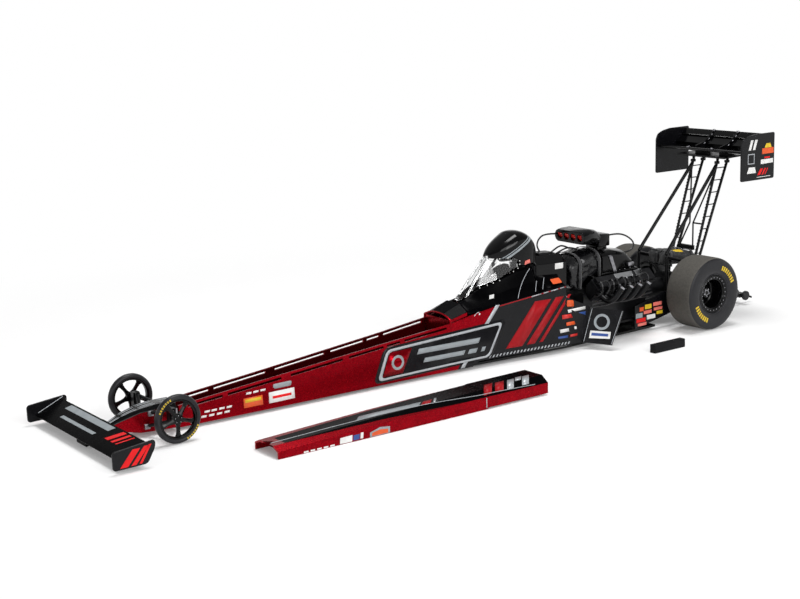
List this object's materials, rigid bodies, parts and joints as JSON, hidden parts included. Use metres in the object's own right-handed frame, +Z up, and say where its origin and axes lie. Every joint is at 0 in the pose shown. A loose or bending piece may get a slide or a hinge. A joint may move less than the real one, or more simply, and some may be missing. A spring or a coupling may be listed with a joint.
{
  "type": "model drag racing car",
  "caption": "Long rail drag racing car at toy scale, with tall rear wing, open engine, wide rear tyres, thin spoked front wheels and its top cowl lifted off beside it.",
  "frame": {"origin": "floor point under the middle of the rear axle", "axes": "+X to the nose, +Y to the car's left, +Z up"},
  "size_m": [0.4283, 0.1152, 0.1032],
  "materials": {
    "tyre": "black rubber",
    "black_metal": "satin black enamel",
    "steel": "bare steel",
    "chrome": "bright plating",
    "red_paint": "deep metallic red lacquer",
    "clear": "clear plastic",
    "gloss_black": "gloss black",
    "cloth": "black padded cloth",
    "red_plastic": "red",
    "hose": "black hose",
    "matt_black": "matt black"
  },
  "bodies": {
    "root": {"front_left_knuckle": "black_metal", "front_right_knuckle": "black_metal", "front_left_arms": "black_metal", "front_right_arms": "black_metal", "nose_cone": "red_paint", "side_panel_left": "red_paint", "side_panel_right": "red_paint", "belly_pan": "matt_black", "cockpit_hood": "red_paint", "cockpit_tub": "gloss_black", "seat_and_steering": "matt_black", "screen_frame": "gloss_black", "windscreen": "clear", "side_glass_left": "clear", "side_glass_right": "clear", "canopy": "gloss_black", "rear_fairing": "gloss_black", "deflector_left": "gloss_black", "deflector_right": "gloss_black", "lower_panel_left": "gloss_black", "lower_panel_right": "gloss_black", "engine_block": "black_metal", "cylinder_head_left": "black_metal", "cylinder_head_right": "black_metal", "valve_cover_left": "chrome", "valve_cover_right": "chrome", "blower": "black_metal", "blower_strap": "steel", "blower_blanket": "cloth", "injector_hat": "gloss_black", "hat_butterflies": "red_plastic", "headers_left": "black_metal", "headers_right": "black_metal", "fuel_lines": "hose", "axle_housing": "black_metal", "gearbox": "black_metal", "rear_frame": "black_metal", "parachute_packs": "cloth", "wing_struts_left": "black_metal", "wing_struts_right": "black_metal", "wing_brace": "black_metal", "wing_ribs": "black_metal", "rear_wing_main": "gloss_black", "rear_wing_flaps": "gloss_black", "rear_wing_plate_left": "gloss_black", "rear_wing_plate_right": "gloss_black", "front_wing": "gloss_black", "wheelie_bar": "black_metal"},
    "rear_axle": {"rear_left_tyre": "tyre", "rear_right_tyre": "tyre", "rear_left_rim": "black_metal", "rear_right_rim": "black_metal", "rear_shaft": "steel"},
    "front_left_wheel": {"front_left_tyre": "tyre", "front_left_rim": "black_metal"},
    "front_right_wheel": {"front_right_tyre": "tyre", "front_right_rim": "black_metal"},
    "wheelie_wheel_set": {"wheelie_wheels": "steel"},
    "cowl": {"lift_off_cowl": "red_paint"},
    "block": {"stand_block": "matt_black"}
  },
  "joints": [
    {"name": "rear_axle_spin", "type": "hinge", "parent": "root", "child": "rear_axle", "pos_m": [0, 0, 0.0197], "axis": [0, 1, 0], "continuous": true},
    {"name": "front_left_spin", "type": "hinge", "parent": "root", "child": "front_left_wheel", "pos_m": [0.3175, 0.0227, 0.0107], "axis": [0, 1, 0], "continuous": true},
    {"name": "front_right_spin", "type": "hinge", "parent": "root", "child": "front_right_wheel", "pos_m": [0.3175, -0.0227, 0.0107], "axis": [0, 1, 0], "continuous": true},
    {"name": "wheelie_spin", "type": "hinge", "parent": "root", "child": "wheelie_wheel_set", "pos_m": [-0.061, 0, 0.0054], "axis": [0, 1, 0], "continuous": true},
    {"name": "cowl_lift", "type": "slide", "parent": "root", "child": "cowl", "axis": [0, 0, 1], "range_m": [0, 0.06]},
    {"name": "block_lift", "type": "slide", "parent": "root", "child": "block", "axis": [0, 0, 1], "range_m": [0, 0.06]}
  ]
}
